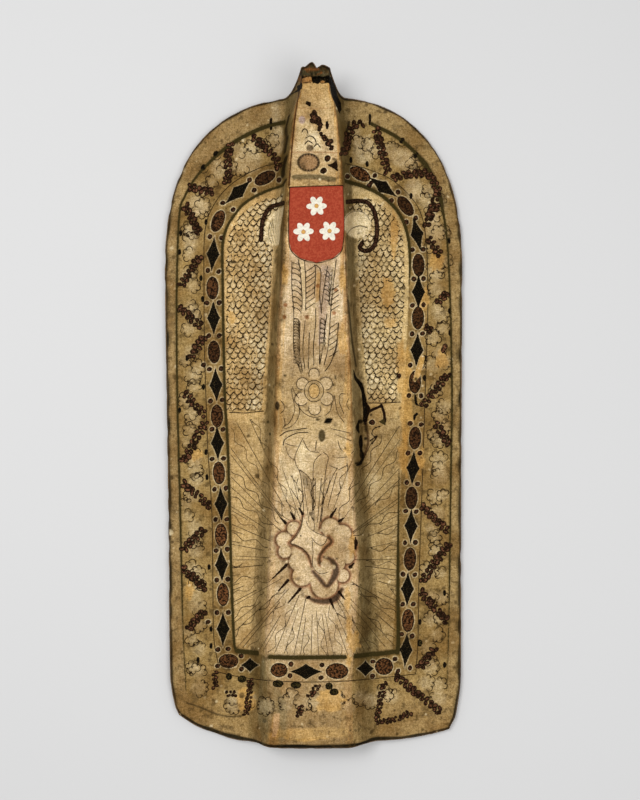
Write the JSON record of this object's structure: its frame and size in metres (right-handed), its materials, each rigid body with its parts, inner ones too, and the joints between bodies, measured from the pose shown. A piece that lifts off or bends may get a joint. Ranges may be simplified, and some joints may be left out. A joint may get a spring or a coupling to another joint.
{
  "type": "standing shield (pavise)",
  "caption": "Tall wooden standing shield with an arched top, a hollow central ridge, a broken nose and a worn painted face.",
  "frame": {"origin": "bottom centre of the bounding box, on the plane that the back of the rim rests on", "axes": "+Z out of the painted front, +Y towards the shield's top, X across the board"},
  "size_m": [0.528, 1.1722, 0.1198],
  "materials": {
    "painted_board": "aged paint on a parchment-coloured ground, matt with a faint varnish gloss",
    "bare_wood": "bare wood darkened by handling"
  },
  "bodies": {
    "root": {"shield_board": "painted_board", "grip_bar": "bare_wood"}
  },
  "joints": []
}
